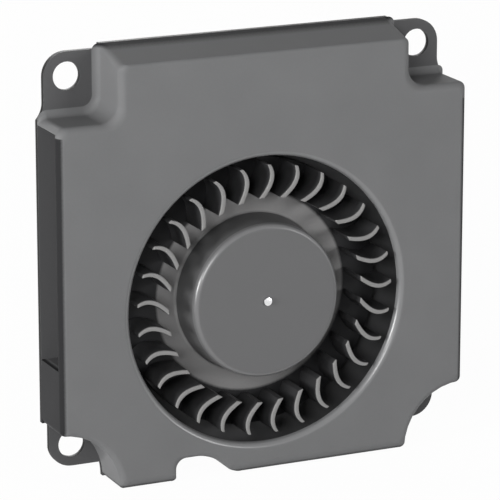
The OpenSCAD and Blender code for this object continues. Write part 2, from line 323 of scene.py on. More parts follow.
@dataclass(frozen=True)
class MouldedPlastic:
    """Spark-textured or smooth moulded thermoplastic, in one tone or two.

    The second tone starts where the distance that reach names passes limit_mm. Of the two tones,
    the darker one is painted shade, laid where the part lies in shadow or turns from the lamps.
    rubbed_mm is a band of heights in which edges near the axis have a gloss.
    """

    name: str
    colour: Colour
    roughness: float = 0.5
    grain_mm: float = 0.28
    grain_depth: float = 0.35
    mottle: float = 0.06
    specular: float = 0.3
    reach: Reach = Reach.NONE
    limit_mm: float = 0.0
    blur_mm: float = 0.4
    second: Colour = (0.0, 0.0, 0.0)
    sheet_middle_mm: float = 0.5
    spare_above_mm: float = 31.6
    spare_blur_mm: float = 0.6
    spare_shift_mm: float = 5.0
    bottom_shift_mm: float = 7.4
    top_shift_mm: float = 7.75
    sheen: float = 0.0
    rubbed_mm: Point = (0.0, 0.0)
    rubbed_fade_mm: Point = (0.3, 0.06)
    rubbed_radius_mm: float = 26.6
    rubbed_roughness: float = 0.28
    patches_per_m: float = 90.0
    rough_by_patch: float = 0.12
    rough_by_grain: float = 0.16
    bump_mm: float = 0.02

    def build(self) -> bpy.types.Material:
        """Make the material: slow mottling, fine spark grain, edges rubbed to a gloss.

        Returns:
            The material.
        """
        s = Shader(self.name)
        slow = s.noise(self.patches_per_m, 2.0)
        fine = s.noise(1.0 / MM / self.grain_mm, 2.0, 0.7)
        blend = ((slow - 0.5) * 1.6 + (fine - 0.5) * 0.8 + 0.5).held()
        colour = s.mix(blend, tint(self.colour, 1 - self.mottle), tint(self.colour, 1 + self.mottle))
        # the darker of the two tones is painted shade, set by place in the part's own frame
        if self.reach is not Reach.NONE:
            past = self._along(s) - self.limit_mm + (fine - 0.5) * 0.2
            colour = s.mix((past / self.blur_mm + 0.5).held(), colour, self.second)
        s.set("Base Color", colour)
        rough = self.roughness + (slow - 0.5) * self.rough_by_patch
        s.set("Roughness", (rough + (fine - 0.5) * self.rough_by_grain).held())
        s.set("Specular IOR Level", self.specular)
        s.set("Normal", s.bump(fine, self.grain_depth, self.bump_mm))
        low, high = self.rubbed_mm
        if high > low:
            rise, fall = self.rubbed_fade_mm
            h = s.height()
            band = ((h - low) / rise).held() * ((high - h) / fall).held()
            band = band * (1.0 - (s.radius() - self.rubbed_radius_mm).held())
            s.set("Coat Weight", (self.sheen + band * (1.0 - self.sheen)).held())
            s.set("Coat Roughness", self.rubbed_roughness)
        return s.material

    def _along(self, s: Shader) -> Value:
        """The distance that the change of tone goes by; the darker tone is painted shade.

        At the cover's sides the upper left and right stretches are spared the painted shade, and the
        bottom and the top are shifted, so that one limit suits all four.

        Args:
            s: the material's shader.

        Returns:
            The distance in millimetres.
        """
        if self.reach is Reach.HEIGHT:
            return s.height()
        if self.reach is Reach.SIDES:
            x, z = s.axis("X"), s.axis("Z")
            spared = ((z - self.spare_above_mm) / self.spare_blur_mm).held() * self.spare_shift_mm
            beside = (x * x) ** 0.5 - spared
            return beside.most(z * -1.0 + self.bottom_shift_mm).most(z - self.top_shift_mm)
        if self.reach is Reach.SHEET:
            off = s.height() - self.sheet_middle_mm
            return (off * off) ** 0.5
        return s.radius()


@dataclass(frozen=True)
class TurnedMetal:
    """Turned, ground or rolled metal with fine lines round or along an axis."""

    name: str
    colour: Colour
    roughness: float = 0.25
    lines_per_mm: float = 14.0
    depth: float = 0.15

    def build(self) -> bpy.types.Material:
        """Make the material: fine lines across Y, with a little stain.

        Returns:
            The material.
        """
        s = Shader(self.name)
        stain = s.noise(350.0, 4.0)
        wobble = s.noise(900.0, 2.0)
        lines = (s.axis("Y") * (self.lines_per_mm * 2 * math.pi) + wobble * 4.0).sine() * 0.5 + 0.5
        s.set("Base Color", s.mix(stain, tint(self.colour, 0.82), self.colour))
        s.set("Metallic", 1.0)
        s.set("Roughness", (self.roughness + (stain - 0.5) * 0.2 + lines * 0.06).held())
        s.set("Normal", s.bump(lines, self.depth, 0.01))
        return s.material


@dataclass(frozen=True)
class Laminations:
    """Stacked steel sheets with varnish between them."""

    name: str
    colour: Colour = (0.42, 0.43, 0.45)
    varnish: Colour = (0.09, 0.08, 0.07)
    sheet_mm: float = 0.35

    def build(self) -> bpy.types.Material:
        """Make the material: dark seams between the sheets.

        Returns:
            The material.
        """
        s = Shader(self.name)
        wave = (s.axis("Y") * (2 * math.pi / self.sheet_mm)).sine() * 0.5 + 0.5
        seam = (wave ** 6.0).held()
        stain = s.noise(600.0, 3.0)
        s.set("Base Color", s.mix((seam * 0.7 + stain * 0.3).held(), self.colour, self.varnish))
        s.set("Metallic", (1.0 - seam * 0.8).held())
        s.set("Roughness", (0.34 + seam * 0.3 + (stain - 0.5) * 0.2).held())
        s.set("Normal", s.bump(1.0 - seam, 0.5, 0.03))
        return s.material


@dataclass(frozen=True)
class EnamelledWire:
    """Copper wire with a clear enamel."""

    name: str
    colour: Colour = (0.56, 0.2, 0.07)

    def build(self) -> bpy.types.Material:
        """Make the material: uneven amber enamel over copper.

        Returns:
            The material.
        """
        s = Shader(self.name)
        stain = s.noise(900.0, 3.0)
        s.set("Base Color", s.mix(stain, tint(self.colour, 0.7), tint(self.colour, 1.25)))
        s.set("Metallic", 0.85)
        s.set("Roughness", (0.28 + (stain - 0.5) * 0.2).held())
        s.set("Coat Weight", 0.5)
        return s.material


@dataclass(frozen=True)
class BoardMask:
    """Solder mask over a circuit board with faint copper tracks beneath."""

    name: str
    colour: Colour = (0.012, 0.11, 0.045)

    def build(self) -> bpy.types.Material:
        """Make the material: ring-shaped tracks that show through the mask.

        Returns:
            The material.
        """
        s = Shader(self.name)
        track = ((s.radius() * 4.2 + s.noise(260.0, 1.0) * 5.0).sine() * 4.0 - 1.4).held()
        s.set("Base Color", s.mix(track, self.colour, tint(self.colour, 2.3)))
        s.set("Roughness", (0.34 + s.noise(800.0) * 0.12).held())
        s.set("Coat Weight", 0.3)
        s.set("Normal", s.bump(track, 0.3, 0.03))
        return s.material


@dataclass(frozen=True)
class CeramicChip:
    """A chip body with tinned ends, split along the chip by distance from the axis."""

    name: str
    colour: Colour
    inner_mm: float
    outer_mm: float
    cap_mm: float = 0.3
    tin: Colour = (0.66, 0.65, 0.62)

    def build(self) -> bpy.types.Material:
        """Make the material: metal at both ends, ceramic between them.

        Returns:
            The material.
        """
        s = Shader(self.name)
        radius = s.radius()
        far_end = radius.above(self.outer_mm - self.cap_mm)
        near_end = 1.0 - radius.above(self.inner_mm + self.cap_mm)
        ends = (far_end + near_end).held()
        speck = s.noise(2600.0, 2.0)
        s.set("Base Color", s.mix(ends, self.colour, self.tin))
        s.set("Metallic", ends)
        s.set("Roughness", (0.5 - ends * 0.15 + (speck - 0.5) * 0.1).held())
        s.set("Normal", s.bump(speck, 0.2, 0.01))
        return s.material


@dataclass(frozen=True)
class FloorPaint:
    """The studio floor: nearly plain white to the camera, with a trace of the shadow."""

    name: str
    shade: float = 0.82
    white: float = 0.97

    def build(self) -> bpy.types.Material:
        """Make the material: a pale matt floor that is mostly plain white to camera and gloss rays.

        Returns:
            The material.
        """
        s = Shader(self.name)
        grain = s.noise(40.0, 2.0)
        s.set("Base Color", s.mix(grain, (self.shade * 0.99,) * 3, (self.shade,) * 3))
        s.set("Roughness", (0.9 + grain * 0.05).held())
        camera, gloss, clear = s.ray_kinds()
        seen = (camera + gloss + clear).held() * self.white
        glow = s.node("ShaderNodeEmission", {}, {"Color": WHITE, "Strength": 1.0})
        blend = s.node("ShaderNodeMixShader", {}, {0: seen, 1: s.surface.outputs[0], 2: glow.outputs[0]})
        s.join(blend.outputs[0], s.output.inputs["Surface"])
        return s.material


class Finish(Enum):
    """Every finish on the blower, each named for what wears it."""

    # the cover's dark second tone is painted shade on its side walls, its bottom wall and the foot of its
    # top wall
    COVER = MouldedPlastic(
        "cover_plastic", (0.131, 0.132, 0.134), roughness=0.42, grain_mm=0.3, grain_depth=0.3,
        mottle=0.05, specular=0.03, reach=Reach.SIDES, limit_mm=36.75, blur_mm=0.5,
        second=(0.020, 0.020, 0.021), sheen=0.03, rubbed_mm=(8.7, 9.98),
    )
    # the plate's near-black first tone is painted shade on its edges; its faces take the second tone
    PLATE = MouldedPlastic(
        "plate_plastic", (0.006, 0.006, 0.006), roughness=0.45, grain_mm=0.3, grain_depth=0.3,
        mottle=0.08, specular=0.08, reach=Reach.SHEET, limit_mm=0.42, blur_mm=0.1,
        second=(0.076, 0.076, 0.078),
    )
    # the hub's darker first tone is painted shade on the cup's sides below the rim; the face and rim take
    # the second tone
    HUB = MouldedPlastic(
        "hub_plastic", (0.078, 0.078, 0.079), roughness=0.40, grain_mm=0.3, grain_depth=0.3,
        mottle=0.05, specular=0.06, reach=Reach.HEIGHT, limit_mm=8.9, blur_mm=0.5,
        second=(0.110, 0.110, 0.112), sheen=0.06, rubbed_mm=(8.8, 9.98),
    )
    # the web's near-black second tone, out past the blades' inner ends, is painted shade between the
    # blades
    WEB = MouldedPlastic(
        "web_plastic", (0.190, 0.188, 0.188), roughness=0.42, grain_mm=0.5, grain_depth=0.1,
        mottle=0.05, specular=0.1, reach=Reach.RADIUS, limit_mm=17.4, blur_mm=0.5,
        second=(0.018, 0.018, 0.019),
    )
    # the blades' near-black first tone is painted shade down their sides; their front edges take the
    # lighter second tone
    BLADE = MouldedPlastic(
        "blade_plastic", (0.026, 0.026, 0.027), roughness=0.42, grain_mm=0.4, grain_depth=0.15,
        mottle=0.06, specular=0.1, reach=Reach.HEIGHT, limit_mm=9.42, blur_mm=0.2,
        second=(0.19, 0.188, 0.186),
    )
    NATURAL = MouldedPlastic("natural_nylon", (0.78, 0.76, 0.68), 0.45, 0.3, 0.15, 0.04)
    WASHER = MouldedPlastic("washer_film", (0.74, 0.74, 0.71), 0.35, 0.4, 0.1, 0.03)
    PACKAGE = MouldedPlastic("chip_package", (0.025, 0.025, 0.026), 0.55, 0.12, 0.4, 0.1)
    MAGNET = MouldedPlastic("bonded_ferrite", (0.035, 0.033, 0.032), 0.6, 0.15, 0.5, 0.15)
    SEAL = MouldedPlastic("seal_film", (0.40, 0.40, 0.41), 0.3, 0.5, 0.1, 0.04)
    SHAFT = TurnedMetal("ground_steel", (0.86, 0.86, 0.87), 0.18, 22.0, 0.08)
    YOKE = TurnedMetal("plated_steel", (0.62, 0.63, 0.65), 0.32, 6.0, 0.1)
    BRASS = TurnedMetal("turned_brass", (0.72, 0.52, 0.22), 0.28, 9.0, 0.2)
    BRONZE = TurnedMetal("sintered_bronze", (0.44, 0.30, 0.14), 0.48, 5.0, 0.25)
    SOLDER = TurnedMetal("solder", (0.68, 0.68, 0.66), 0.22, 3.0, 0.05)
    CORE = Laminations("stator_sheets")
    WIRE = EnamelledWire("enamelled_copper")
    BOARD = BoardMask("solder_mask")
    CAPACITOR = CeramicChip("capacitor_ceramic", (0.40, 0.26, 0.13), 6.73, 8.23)
    RESISTOR = CeramicChip("resistor_ceramic", (0.02, 0.02, 0.022), 6.94, 8.14, 0.24)
    FLOOR = FloorPaint("studio_floor")


class Wardrobe:
    """Builds each finish once and hands it out."""

    def __init__(self) -> None:
        """Start with nothing built."""
        self.made: dict[Finish, bpy.types.Material] = {}

    def get(self, finish: Finish) -> bpy.types.Material:
        """The finish's material, built on first use.

        Args:
            finish: which finish.

        Returns:
            The material.
        """
        if finish not in self.made:
            self.made[finish] = finish.value.build()
        return self.made[finish]


WARDROBE = Wardrobe()


# --------------------------------------------------------------------------- mesh tools

# a copied solid's points closer than this are joined, and faces flatter than this become one
WELD_M = 2e-6
FLAT_DEGREES = 1.5


def new_object(name: str, mesh: bpy.types.Mesh) -> bpy.types.Object:
    """Link a mesh into the scene as an object at the origin.

    Args:
        name: the object's name.
        mesh: its mesh, in metres in the part's frame.

    Returns:
        The object.
    """
    obj = bpy.data.objects.new(name, mesh)
    bpy.context.scene.collection.objects.link(obj)
    return obj


def from_bmesh(name: str, bm: bmesh.types.BMesh) -> bpy.types.Object:
    """Close a bmesh into an object, with its normals made consistent.

    Args:
        name: the object's name.
        bm: the bmesh, which is used up.

    Returns:
        The object.
    """
    bmesh.ops.recalc_face_normals(bm, faces=bm.faces[:])
    mesh = bpy.data.meshes.new(name)
    bm.to_mesh(mesh)
    bm.free()
    return new_object(name, mesh)


def settle(obj: bpy.types.Object) -> bpy.types.Object:
    """Bake an object's modifiers into its mesh and remove them.

    Args:
        obj: the object.

    Returns:
        The same object.
    """
    graph = bpy.context.evaluated_depsgraph_get()
    graph.update()
    mesh = bpy.data.meshes.new_from_object(obj.evaluated_get(graph))
    obj.modifiers.clear()
    obj.data = mesh
    return obj


def smooth(obj: bpy.types.Object, angle: float = 34.0) -> bpy.types.Object:
    """Shade smooth, but keep edges sharper than an angle crisp.

    Args:
        obj: the object.
        angle: the angle in degrees.

    Returns:
        The same object.
    """
    bm = bmesh.new()
    bm.from_mesh(obj.data)
    limit = math.radians(angle)
    for face in bm.faces:
        face.smooth = True
    for edge in bm.edges:
        if len(edge.link_faces) == 2:
            edge.smooth = edge.calc_face_angle(0.0) < limit
        else:
            edge.smooth = False
    bm.to_mesh(obj.data)
    bm.free()
    return obj


def bevel(obj: bpy.types.Object, width_mm: float, segments: int, angle: float) -> bpy.types.Object:
    """Round an object's sharp edges with a Bevel modifier and bake it.

    Args:
        obj: the object.
        width_mm: how far the rounding reaches from an edge.
        segments: how many faces it has.
        angle: the least angle of an edge that is rounded, in degrees.

    Returns:
        The same object.
    """
    made = obj.modifiers.new("edges", "BEVEL")
    made.width = width_mm * MM
    made.segments = segments
    made.limit_method = "ANGLE"
    made.angle_limit = math.radians(angle)
    made.use_clamp_overlap = True
    made.harden_normals = False
    return settle(obj)


def weigh(obj: bpy.types.Object) -> bpy.types.Object:
    """Weight normals by face area so that flats stay flat, and bake it.

    Args:
        obj: the object.

    Returns:
        The same object.
    """
    made = obj.modifiers.new("normals", "WEIGHTED_NORMAL")
    made.mode = "FACE_AREA"
    made.keep_sharp = True
    made.weight = 80
    return settle(obj)


def cut(obj: bpy.types.Object, tool: bpy.types.Object) -> bpy.types.Object:
    """Subtract a closed tool from a closed object, and throw the tool away.

    Args:
        obj: the object.
        tool: what is cut out of it.

    Returns:
        The same object.
    """
    made = obj.modifiers.new("cut", "BOOLEAN")
    made.operation = "DIFFERENCE"
    made.solver = "EXACT"
    made.object = tool
    settle(obj)
    bpy.data.objects.remove(tool)
    return obj


def add(obj: bpy.types.Object, part: bpy.types.Object) -> bpy.types.Object:
    """Put a closed part's shell into an object that it lies against, and throw the part away.

    Args:
        obj: the object.
        part: what is added to it.

    Returns:
        The same object.
    """
    bm = bmesh.new()
    bm.from_mesh(obj.data)
    bm.from_mesh(part.data)
    bm.to_mesh(obj.data)
    bm.free()
    bpy.data.objects.remove(part)
    return obj


def block(name: str, x: Point, z: Point, h: Point) -> bpy.types.Object:
    """A closed box, for use as a cutting tool or as a plain part.

    Args:
        name: the object's name.
        x: its limits to the left and right, in millimetres.
        z: its limits below and above.
        h: its limits behind and in front.

    Returns:
        The box.
    """
    bm = bmesh.new()
    corners = [bm.verts.new(place(a, b, c)) for c in h for b in z for a in x]
    for ids in ((0, 1, 3, 2), (4, 6, 7, 5), (0, 4, 5, 1), (2, 3, 7, 6), (0, 2, 6, 4), (1, 5, 7, 3)):
        bm.faces.new([corners[i] for i in ids])
    return from_bmesh(name, bm)


def circle(radius: float, steps: int) -> list[Point]:
    """Points evenly round a circle about the axis."""
    turns = [2 * math.pi * i / steps for i in range(steps)]
    return [(radius * math.cos(a), radius * math.sin(a)) for a in turns]


def lathe(name: str, profile: Sequence[Point], steps: int) -> bpy.types.Object:
    """Turn a closed profile round the blower's axis.

    Args:
        name: the object's name.
        profile: radius and height pairs in millimetres, in order round the section; a pair with
            no radius becomes one point on the axis.
        steps: how many steps make the full turn.

    Returns:
        The turned object.
    """
    bm = bmesh.new()
    rings: list[list[bmesh.types.BMVert]] = []
    for radius, h in profile:
        ring = circle(radius, steps) if radius > 0.0 else [(0.0, 0.0)]
        rings.append([bm.verts.new(place(x, z, h)) for x, z in ring])
    for first, second in zip(rings, rings[1:] + rings[:1]):
        if len(first) == 1 and len(second) == 1:
            continue
        for i in range(steps):
            j = (i + 1) % steps
            near, far = len(first), len(second)
            around = [first[i % near], first[j % near], second[j % far], second[i % far]]
            bm.faces.new(list(dict.fromkeys(around)))
    return from_bmesh(name, bm)


def arc(cx: float, cy: float, radius: float, start: float, end: float, steps: int = 8) -> list[Point]:
    """Points along an arc, both ends included.

    Args:
        cx: the centre's first coordinate.
        cy: the centre's second coordinate.
        radius: the arc's radius.
        start: the first point's angle, in degrees.
        end: the last point's angle.
        steps: how many steps lead from one to the other.

    Returns:
        The points.
    """
    made: list[Point] = []
    for i in range(steps + 1):
        a = math.radians(start + (end - start) * i / steps)
        made.append((cx + radius * math.cos(a), cy + radius * math.sin(a)))
    return made


def dress(obj: bpy.types.Object, finish: Finish) -> bpy.types.Object:
    """Give an object one finish all over.

    Args:
        obj: the object.
        finish: its finish.

    Returns:
        The same object.
    """
    obj.data.materials.clear()
    obj.data.materials.append(WARDROBE.get(finish))
    return obj


def mount(obj: bpy.types.Object, body: str, slot: str, *nodes: str) -> bpy.types.Object:
    """Fix a finished piece to its body and say which solids it stands for.

    Args:
        obj: the piece.
        body: the body that carries it.
        slot: the record's material slot; not used.
        nodes: the solids that it replaces.

    Returns:
        The piece.
    """
    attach(obj, body)
    if nodes:
        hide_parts(*nodes)
    triangles = sum(len(p.vertices) - 2 for p in obj.data.polygons)
    LOG.info("%s on %s, %d triangles, for %s", obj.name, body, triangles, ", ".join(nodes) or "nothing")
    return obj


def copy_of(node: str, name: str) -> bpy.types.Object:
    """A merged, n-gon copy of a solid's mesh as a new piece.

    Args:
        node: the solid's name.
        name: the piece's name.

    Returns:
        The piece.
    """
    bm = bmesh.new()
    bm.from_mesh(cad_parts[node].data)
    bmesh.ops.remove_doubles(bm, verts=bm.verts[:], dist=WELD_M)
    flat = math.radians(FLAT_DEGREES)
    bmesh.ops.dissolve_limit(bm, angle_limit=flat, verts=bm.verts[:], edges=bm.edges[:])
    mesh = bpy.data.meshes.new(name)
    bm.to_mesh(mesh)
    bm.free()
    return new_object(name, mesh)


# --------------------------------------------------------------------------- cover


Ring = list[bmesh.types.BMVert]

# the least front rounding, and the least rise of a foot, which keeps its faces from having no area
LEAST_ROUND = 0.05
LEAST_RISE = 0.04

# how far along a side a corner's curve may start, and how strongly the corner pulls the curve
CORNER_SHARE = 0.48
CORNER_PULL = 0.702
CORNER_STEPS = 8


class Side(Enum):
    """The parts of the cover's outline, each with an edge of its own kind."""

    BOTTOM = "bottom"
    NOTCH = "notch"
    SCOOP = "scoop"
    RIGHT = "right"
    POCKET = "pocket"
    TOP = "top"
    LEFT = "left"


@dataclass(frozen=True)
class Edge:
    """How one side rises from the plate to the face."""

    front_round: float
    draft: float = 0.0
    foot_flare: float = 0.0

    def at(self, step: float, base: float, face: float, sink: float) -> Point:
        """Inset and height of the wall's surface.

        Args:
            step: zero at the foot, one at the top of the flare, two where the front rounding
                starts, three on the face.
            base: height of the foot.
            face: height of the face.
            sink: how far the whole surface is moved in.

        Returns:
            Inset from the outline, and height.
        """
        radius = max(self.front_round - sink, LEAST_ROUND)
        rise = max(self.foot_flare, LEAST_RISE)
        if step <= 1.0:
            a = math.radians(90.0 * step)
            return (-self.foot_flare * (1 - math.sin(a)) + sink, base + rise * (1 - math.cos(a)))
        start = face - radius
        if step <= 2.0:
            t = step - 1.0
            low = base + rise
            return (self.draft * t + sink, low + (start - low) * t)
        a = math.radians(90.0 * (step - 2.0))
        return (self.draft + sink + radius * (1 - math.cos(a)), start + radius * math.sin(a))


@dataclass
class Cover:
    """The moulded cover: outline, pockets, rounded edges, inlet and outlet.

    A pocket is given by its width and its depth from the top. The fields that end in corner round
    the outline's own corners, named for where they are, with the notch's four going round it and
    the ears' two from left to right. lead_slot runs from the notch's left end, and tool_past is how
    far a cutting tool stands out beside and behind the cover. steps are heights on the wall, as in
    Edge.at: the foot in quarters, the wall in halves, the front rounding in about sixths.
    """

    half: float = 37.5
    low: float = -30.0
    high: float = 45.0
    base: float = 1.0
    face: float = 10.0
    wall: float = 1.2
    scoop: float = 10.8
    pocket_left: Point = (11.0, 11.7)
    pocket_right: Point = (10.8, 10.6)
    pocket_corner: float = 3.2
    pocket_corner_least: float = 1.2
    top_corner: float = 1.2
    ear_corner: Point = (1.6, 1.0)
    side_corner: float = 0.9
    bottom_corner: float = 0.8
    notch_corner: tuple[float, float, float, float] = (0.7, 1.9, 2.4, 1.6)
    notch_from: float = -16.7
    notch_to: float = -5.8
    notch_top: float = 4.1
    notch_slope: float = 4.6
    inlet: float = 25.0
    inlet_steps: int = 144
    lip: float = 1.15
    outlet_low: float = -8.0
    outlet_high: float = 32.2
    outlet_past_wall: float = 0.4
    lead_slot: Point = (3.5, 7.5)
    lead_below: float = 1.0
    lead_above: float = 2.4
    lead_deep: float = 1.4
    skirt_short: float = 1.0
    tool_past: Point = (2.0, 1.0)
    edges: dict[Side, Edge] = field(
        default_factory=lambda: {
            Side.BOTTOM: Edge(1.9),
            Side.NOTCH: Edge(0.7),
            Side.SCOOP: Edge(1.1),
            Side.RIGHT: Edge(1.15),
            Side.POCKET: Edge(1.3, 0.0, 1.3),
            Side.TOP: Edge(0.6, 2.0),
            Side.LEFT: Edge(1.15),
        }
    )
    steps: tuple[float, ...] = (0.0, 0.25, 0.5, 0.75, 1.0, 1.5, 2.0, 2.17, 2.33, 2.5, 2.67, 2.83, 3.0)

    def plan(self, step: float, sink: float) -> list[Spot]:
        """The outline at one step up the wall.

        Args:
            step: position on the wall, as in Edge.at.
            sink: how far the whole surface is moved in.

        Returns:
            x, z and height of each point, counter-clockwise seen from the inlet.
        """
        inset: dict[Side, float] = {}
        height: dict[Side, float] = {}
        for side, edge in self.edges.items():
            inset[side], height[side] = edge.at(step, self.base, self.face, sink)
        left, right = -self.half + inset[Side.LEFT], self.half - inset[Side.RIGHT]
        bottom, top = self.low + inset[Side.BOTTOM], self.high - inset[Side.TOP]
        scoop = self.scoop + inset[Side.SCOOP]
        notch, pocket = inset[Side.NOTCH], inset[Side.POCKET]
        flare = max(-pocket, 0.0)
        dip = math.sqrt(scoop ** 2 - inset[Side.BOTTOM] ** 2)
        rise = math.sqrt(scoop ** 2 - inset[Side.RIGHT] ** 2)
        rise_left = math.sqrt(scoop ** 2 - inset[Side.LEFT] ** 2)
        start = math.degrees(math.asin(inset[Side.BOTTOM] / scoop))
        stop = 90.0 - math.degrees(math.asin(inset[Side.RIGHT] / scoop))
        stop_left = 90.0 - math.degrees(math.asin(inset[Side.LEFT] / scoop))
        ceiling = self.low + self.notch_top + notch
        right_x = self.half - self.pocket_right[0] - pocket
        right_z = self.high - self.pocket_right[1] - pocket
        left_x = -self.half + self.pocket_left[0] + pocket
        left_z = self.high - self.pocket_left[1] - pocket
        corner = max(self.pocket_corner - flare, self.pocket_corner_least)
        foot_in, roof_in, roof_out, foot_out = self.notch_corner
        left_ear, right_ear = self.ear_corner
        B, N, S, R, P, T, L = Side
        points: list[tuple[float, float, float, Side, Side]] = [
            (-self.half + dip, bottom, self.bottom_corner, S, B),
            (self.notch_from - notch, bottom, foot_in, B, N),
            (self.notch_from - notch, ceiling, roof_in, N, N),
            (self.notch_to - self.notch_slope, ceiling, roof_out, N, N),
            (self.notch_to + notch, bottom, foot_out, N, B),
            (self.half - dip, bottom, self.bottom_corner, B, S),
        ]
        for x, z in arc(self.half, self.low, scoop, 180.0 - start, 180.0 - stop, 9)[1:-1]:
            points.append((x, z, 0.0, S, S))
        points += [
            (right, self.low + rise, self.side_corner, S, R),
            (right, right_z, right_ear, R, P),
            (right_x, right_z, corner, P, P),
            (right_x, top, self.top_corner, P, T),
            (left_x, top, self.top_corner, T, P),
            (left_x, left_z, corner, P, P),
            (left, left_z, left_ear, P, L),
            (left, self.low + rise_left, self.side_corner, L, S),
        ]
        for x, z in arc(-self.half, self.low, scoop, stop_left, start, 9)[1:-1]:
            points.append((x, z, 0.0, S, S))
        return self._rounded(points, height)

    @staticmethod
    def _rounded(
        points: Sequence[tuple[float, float, float, Side, Side]], height: dict[Side, float]
    ) -> list[Spot]:
        """Replace each cornered point by a short curve, and give every point its height.

        Args:
            points: x, z, corner rounding, and the sides before and after each point.
            height: the height of each side at this step.

        Returns:
            x, z and height of each point of the rounded outline.
        """
        made: list[Spot] = []
        count = len(points)
        for i, (x, z, radius, before, after) in enumerate(points):
            if radius <= 0.0:
                made.append((x, z, height[before]))
                continue
            here = Vector((x, z))
            last, following = points[i - 1], points[(i + 1) % count]
            back, on = Vector(last[:2]) - here, Vector(following[:2]) - here
            reach = min(radius, back.length * CORNER_SHARE, on.length * CORNER_SHARE)
            a, b = here + back.normalized() * reach, here + on.normalized() * reach
            for k in range(CORNER_STEPS + 1):
                t = k / CORNER_STEPS
                pull = 2 * CORNER_PULL * t * (1 - t)
                p = (a * (1 - t) ** 2 + here * pull + b * t ** 2) / ((1 - t) ** 2 + pull + t ** 2)
                made.append((p.x, p.y, height[before] * (1 - t) + height[after] * t))
        return made

    def build(self) -> bpy.types.Object:
        """Build the closed cover, open its outlet and lead slot, add its skirt, and dress it.

        Returns:
            The finished cover.
        """
        bm = bmesh.new()
        outer = [self._ring(bm, self.plan(step, 0.0)) for step in self.steps]
        roof = self.face - self.wall
        inner = []
        for t, h in ((0.0, self.base), (1.0, roof)):
            inner.append(self._ring(bm, [(x, z, h) for x, z, _ in self._inner_plan(t)]))
        for low, high in zip(outer, outer[1:]):
            self._wall(bm, low, high)
        self._wall(bm, inner[1], inner[0])
        self._wall(bm, inner[0], outer[0])
        lip = [(self.inlet, roof)]
        lip += arc(self.inlet + self.lip, self.face - self.lip, self.lip, 180.0, 90.0)
        rings = []
        for radius, h in lip:
            rings.append(self._ring(bm, [(x, z, h) for x, z in circle(radius, self.inlet_steps)]))
        for low, high in zip(rings, rings[1:]):
            self._wall(bm, low, high)
        self._fill(bm, outer[-1], rings[-1])
        self._fill(bm, inner[1], rings[0])
        cover = from_bmesh("cover", bm)
        self._open(cover, roof)
        skirt_z = (self.low + self.scoop, self.outlet_low - self.skirt_short)
        add(cover, block("skirt", (-self.half, -self.half + self.wall), skirt_z, (0.0, self.base)))
        smooth(cover, 30.0)
        weigh(cover)
        dress(cover, Finish.COVER)
        return mount(cover, "housing", "front_cover", "front_cover")

    def _open(self, cover: bpy.types.Object, roof: float) -> None:
        """Cut the outlet in the left side and the lead slot in the notch's ceiling.

        Args:
            cover: the closed cover.
            roof: height of the face's underside.
        """
        beside, behind = self.tool_past
        outlet_x = (-self.half - beside, -self.half + self.wall + self.outlet_past_wall)
        outlet_z = (self.outlet_low, self.outlet_high)
        cut(cover, block("outlet_tool", outlet_x, outlet_z, (-behind, roof)))
        ceiling = self.low + self.notch_top
        lead_x = (self.notch_from + self.lead_slot[0], self.notch_from + self.lead_slot[1])
        lead_z = (ceiling - self.lead_below, ceiling + self.lead_above)
        cut(cover, block("lead_tool", lead_x, lead_z, (0.0, self.base + self.lead_deep)))

    def _inner_plan(self, t: float) -> list[Spot]:
        """The inner wall's outline.

        Args:
            t: zero at the foot, one under the roof.

        Returns:
            x and z of each point, with a height that isn't used.
        """
        plain = {side: Edge(0.0, edge.draft) for side, edge in self.edges.items()}
        return replace(self, edges=plain).plan(1.0 + t, self.wall)

    @staticmethod
    def _ring(bm: bmesh.types.BMesh, points: Sequence[Spot]) -> Ring:
        """Add one ring of points."""
        return [bm.verts.new(place(x, z, h)) for x, z, h in points]

    @staticmethod
    def _wall(bm: bmesh.types.BMesh, first: Ring, second: Ring) -> None:
        """Join two rings of equal count with quads.

        Args:
            bm: the mesh that holds them.
            first: one ring.
            second: the other ring.
        """
        count = len(first)
        for i in range(count):
            j = (i + 1) % count
            bm.faces.new((first[i], first[j], second[j], second[i]))

    @staticmethod
    def _fill(bm: bmesh.types.BMesh, outside: Ring, inside: Ring) -> None:
        """Fill the flat between an outline and a round hole.

        Args:
            bm: the mesh that holds them.
            outside: the outline.
            inside: the hole's edge.
        """
        edges = []
        for ring in (outside, inside):
            for a, b in zip(ring, ring[1:] + ring[:1]):
                edges.append(bm.edges.get((a, b)) or bm.edges.new((a, b)))
        bmesh.ops.triangle_fill(bm, use_beauty=True, use_dissolve=False, edges=edges)


# --------------------------------------------------------------------------- rear plate


@dataclass
class RearPlate:
    """The flat plate with its ears, and the plain disc that closes the bearing.

    disc_edge gives the inset and the height of each point of the disc's rounded rear edge.
    """

    edge_round: float = 0.14
    disc: float = 6.0
    disc_thick: float = 0.3
    disc_edge: tuple[Point, ...] = ((0.14, 0.0), (0.03, 0.05), (0.0, 0.16))

    def build(self) -> None:
        """Round the plate's edges and dress both pieces."""
        plate = copy_of("rear_plate", "plate")
        bevel(plate, self.edge_round, 2, 40.0)
        smooth(plate, 30.0)
        weigh(plate)
        dress(plate, Finish.PLATE)
        mount(plate, "housing", "rear_plate", "rear_plate")
        r, thick = self.disc, self.disc_thick
        profile = [(0.0, 0.0)] + [(r - inset, h) for inset, h in self.disc_edge]
        profile += [(r, thick), (0.0, thick)]
        disc = lathe("seal_disc", profile, 96)
        smooth(disc)
        dress(disc, Finish.SEAL)
        mount(disc, "housing", "rear_seal_disc", "rear_seal_disc")


# --------------------------------------------------------------------------- impeller


